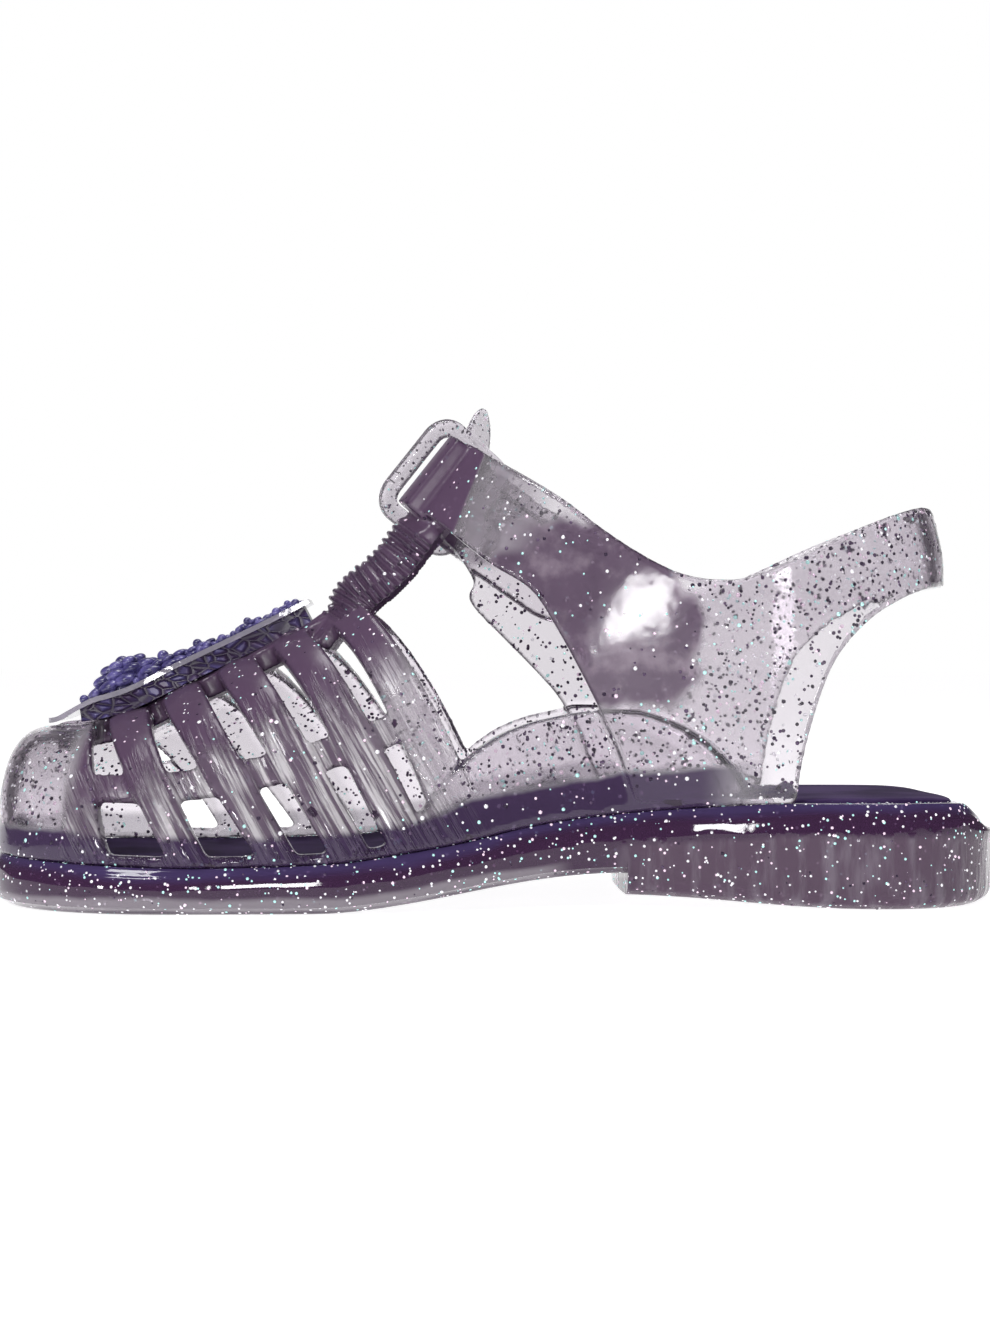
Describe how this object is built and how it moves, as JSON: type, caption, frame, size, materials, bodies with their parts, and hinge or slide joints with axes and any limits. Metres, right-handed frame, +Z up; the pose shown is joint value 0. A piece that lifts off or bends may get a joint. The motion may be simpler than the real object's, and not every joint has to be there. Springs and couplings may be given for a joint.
{
  "type": "child jelly sandal",
  "caption": "Right-foot child's jelly sandal in clear lilac glitter PVC: caged vamp, T-bar, ankle strap with buckle ring, violet insole and flower ornament.",
  "frame": {"origin": "on the floor, under the middle of the sandal's outline", "axes": "+X from toe to heel, +Y to the outer side of the right foot, +Z up"},
  "size_m": [0.155, 0.0585, 0.0784],
  "materials": {
    "sole_pvc": "glossy clear PVC with glitter, dark mauve where thick",
    "clear_pvc": "glossy clear grey-lilac PVC with glitter",
    "insole_pvc": "satin violet PVC",
    "buckle_plastic": "glossy clear plastic with glitter",
    "ornament_clear": "glossy clear sheet",
    "ornament_violet": "glossy blue-violet PVC"
  },
  "bodies": {
    "root": {"sole": "sole_pvc", "upper": "clear_pvc", "insole": "insole_pvc", "buckle_ring": "buckle_plastic", "ornament_bed": "ornament_violet", "ornament_plate": "ornament_clear", "ornament_flower_front": "ornament_violet", "ornament_flower_middle": "ornament_violet", "ornament_flower_rear": "ornament_violet", "ornament_flower_last": "ornament_violet"}
  },
  "joints": []
}
